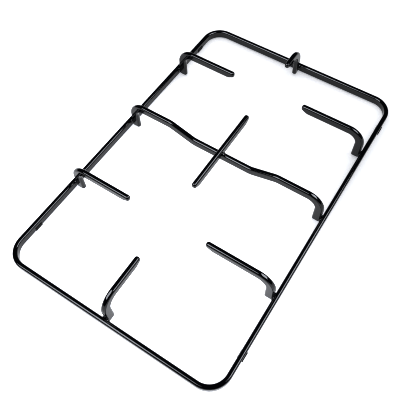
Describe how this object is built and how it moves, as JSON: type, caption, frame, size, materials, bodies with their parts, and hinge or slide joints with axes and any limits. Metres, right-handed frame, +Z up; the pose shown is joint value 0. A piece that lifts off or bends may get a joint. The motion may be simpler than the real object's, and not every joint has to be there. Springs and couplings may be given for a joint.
{
  "type": "hob pan support",
  "caption": "Black enamelled hob pan support: a rounded flat-bar frame with bent fingers round two burner openings, a dipped centre bar, a cross bar and small rubber feet.",
  "frame": {"origin": "on the hob surface under the middle of the frame, level with the soles of the rubber feet", "axes": "+X across the support towards its right long side, +Y along it towards the far short side, +Z up"},
  "size_m": [0.2532, 0.389, 0.0418],
  "materials": {
    "enamel": "gloss",
    "rubber": "matte"
  },
  "bodies": {
    "root": {"frame_ring": "enamel", "left_finger_near": "enamel", "left_finger_far": "enamel", "right_finger_near": "enamel", "right_finger_far": "enamel", "near_finger": "enamel", "far_finger": "enamel", "centre_bar": "enamel", "cross_bar": "enamel", "weld_beads": "enamel", "foot_near_left": "rubber", "foot_near_right": "rubber", "foot_far_left": "rubber", "foot_far_right": "rubber"}
  },
  "joints": []
}
